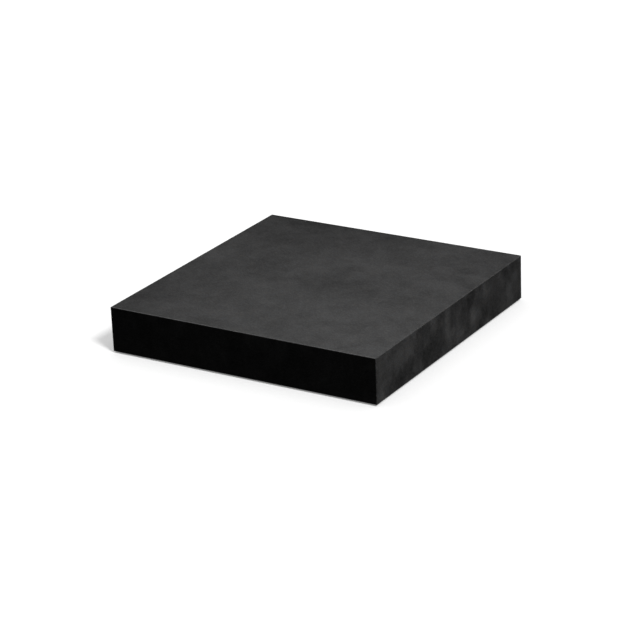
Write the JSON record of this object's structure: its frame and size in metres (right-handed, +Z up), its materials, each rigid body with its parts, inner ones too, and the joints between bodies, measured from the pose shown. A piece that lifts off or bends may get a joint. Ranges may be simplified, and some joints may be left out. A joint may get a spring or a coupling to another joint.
{
  "type": "granite slab",
  "caption": "Square black granite tooling slab with small ground arrises, standing on thin round rubber pads taped to its underside; a heavy flat base for stamping leather.",
  "frame": {"origin": "on the bench surface, under the centre of the slab", "axes": "+Z up, out of the flat work face; the front face looks along -Y and the right face along +X; the slab is square, so X and Y can be exchanged"},
  "size_m": [0.3048, 0.3048, 0.0495],
  "materials": {
    "stone": "satin",
    "pad_rubber": "matte",
    "tape": "matte"
  },
  "bodies": {
    "root": {"granite_slab": "stone", "foot_pad_front_left": "pad_rubber", "foot_pad_front_right": "pad_rubber", "foot_pad_rear_left": "pad_rubber", "foot_pad_rear_right": "pad_rubber", "foot_tape_front_left": "tape", "foot_tape_front_right": "tape", "foot_tape_rear_left": "tape", "foot_tape_rear_right": "tape"}
  },
  "joints": []
}
